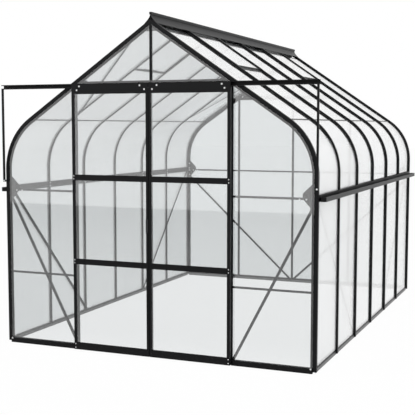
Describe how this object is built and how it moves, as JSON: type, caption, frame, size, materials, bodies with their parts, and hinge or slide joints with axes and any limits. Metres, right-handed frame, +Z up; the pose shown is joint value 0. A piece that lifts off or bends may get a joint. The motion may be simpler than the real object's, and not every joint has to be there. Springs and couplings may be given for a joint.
{
  "type": "greenhouse with curved eaves",
  "caption": "Hobby greenhouse of black aluminium bars and clear glass, with curved eaves, a ridge cap, gutters, roof vents and double sliding doors on an overhead track.",
  "frame": {"origin": "on the ground, under the middle of the whole, gutters and closed doors included", "axes": "+Z up, +Y from the door gable to the back gable along the ridge, +X to the right of someone facing the doors"},
  "size_m": [2.786, 3.812, 2.6804],
  "materials": {
    "frame": "satin powder coat, anthracite black",
    "glass": "clear polished",
    "rollers": "matt",
    "bolts": "bright stainless steel",
    "handle": "satin powder coat, dark grey"
  },
  "bodies": {
    "house": {"front_sills": "frame", "door_threshold": "frame", "sill_left": "frame", "sill_right": "frame", "back_sill": "frame", "front_arch_left": "frame", "front_arch_right": "frame", "back_arch_left": "frame", "back_arch_right": "frame", "bars_left": "frame", "bars_right": "frame", "eaves_beams": "frame", "gutters": "frame", "ridge_cap": "frame", "door_post_left": "frame", "door_post_right": "frame", "front_header": "frame", "front_centre_bar": "frame", "front_rails": "frame", "back_bars": "frame", "back_rails": "frame", "gable_braces": "frame", "side_braces": "frame", "roof_braces": "frame", "front_gussets": "frame", "back_gussets": "frame", "door_track": "frame", "track_supports": "frame", "wall_glass": "glass", "curved_glass": "glass", "roof_glass": "glass", "front_glass": "glass", "back_glass": "glass", "pane_strips": "frame", "vent_frames": "frame", "vent_glass": "glass", "vent_sills": "frame"},
    "left_door": {"left_door_frame": "frame", "left_door_glass": "glass", "left_door_rollers": "rollers", "door_handle": "handle"},
    "right_door": {"right_door_frame": "frame", "right_door_glass": "glass", "right_door_rollers": "rollers"}
  },
  "joints": [
    {"name": "left_door_slide", "type": "slide", "parent": "house", "child": "left_door", "axis": [-1, 0, 0], "range_m": [0, 0.61]},
    {"name": "right_door_slide", "type": "slide", "parent": "house", "child": "right_door", "axis": [1, 0, 0], "range_m": [0, 0.61]}
  ]
}
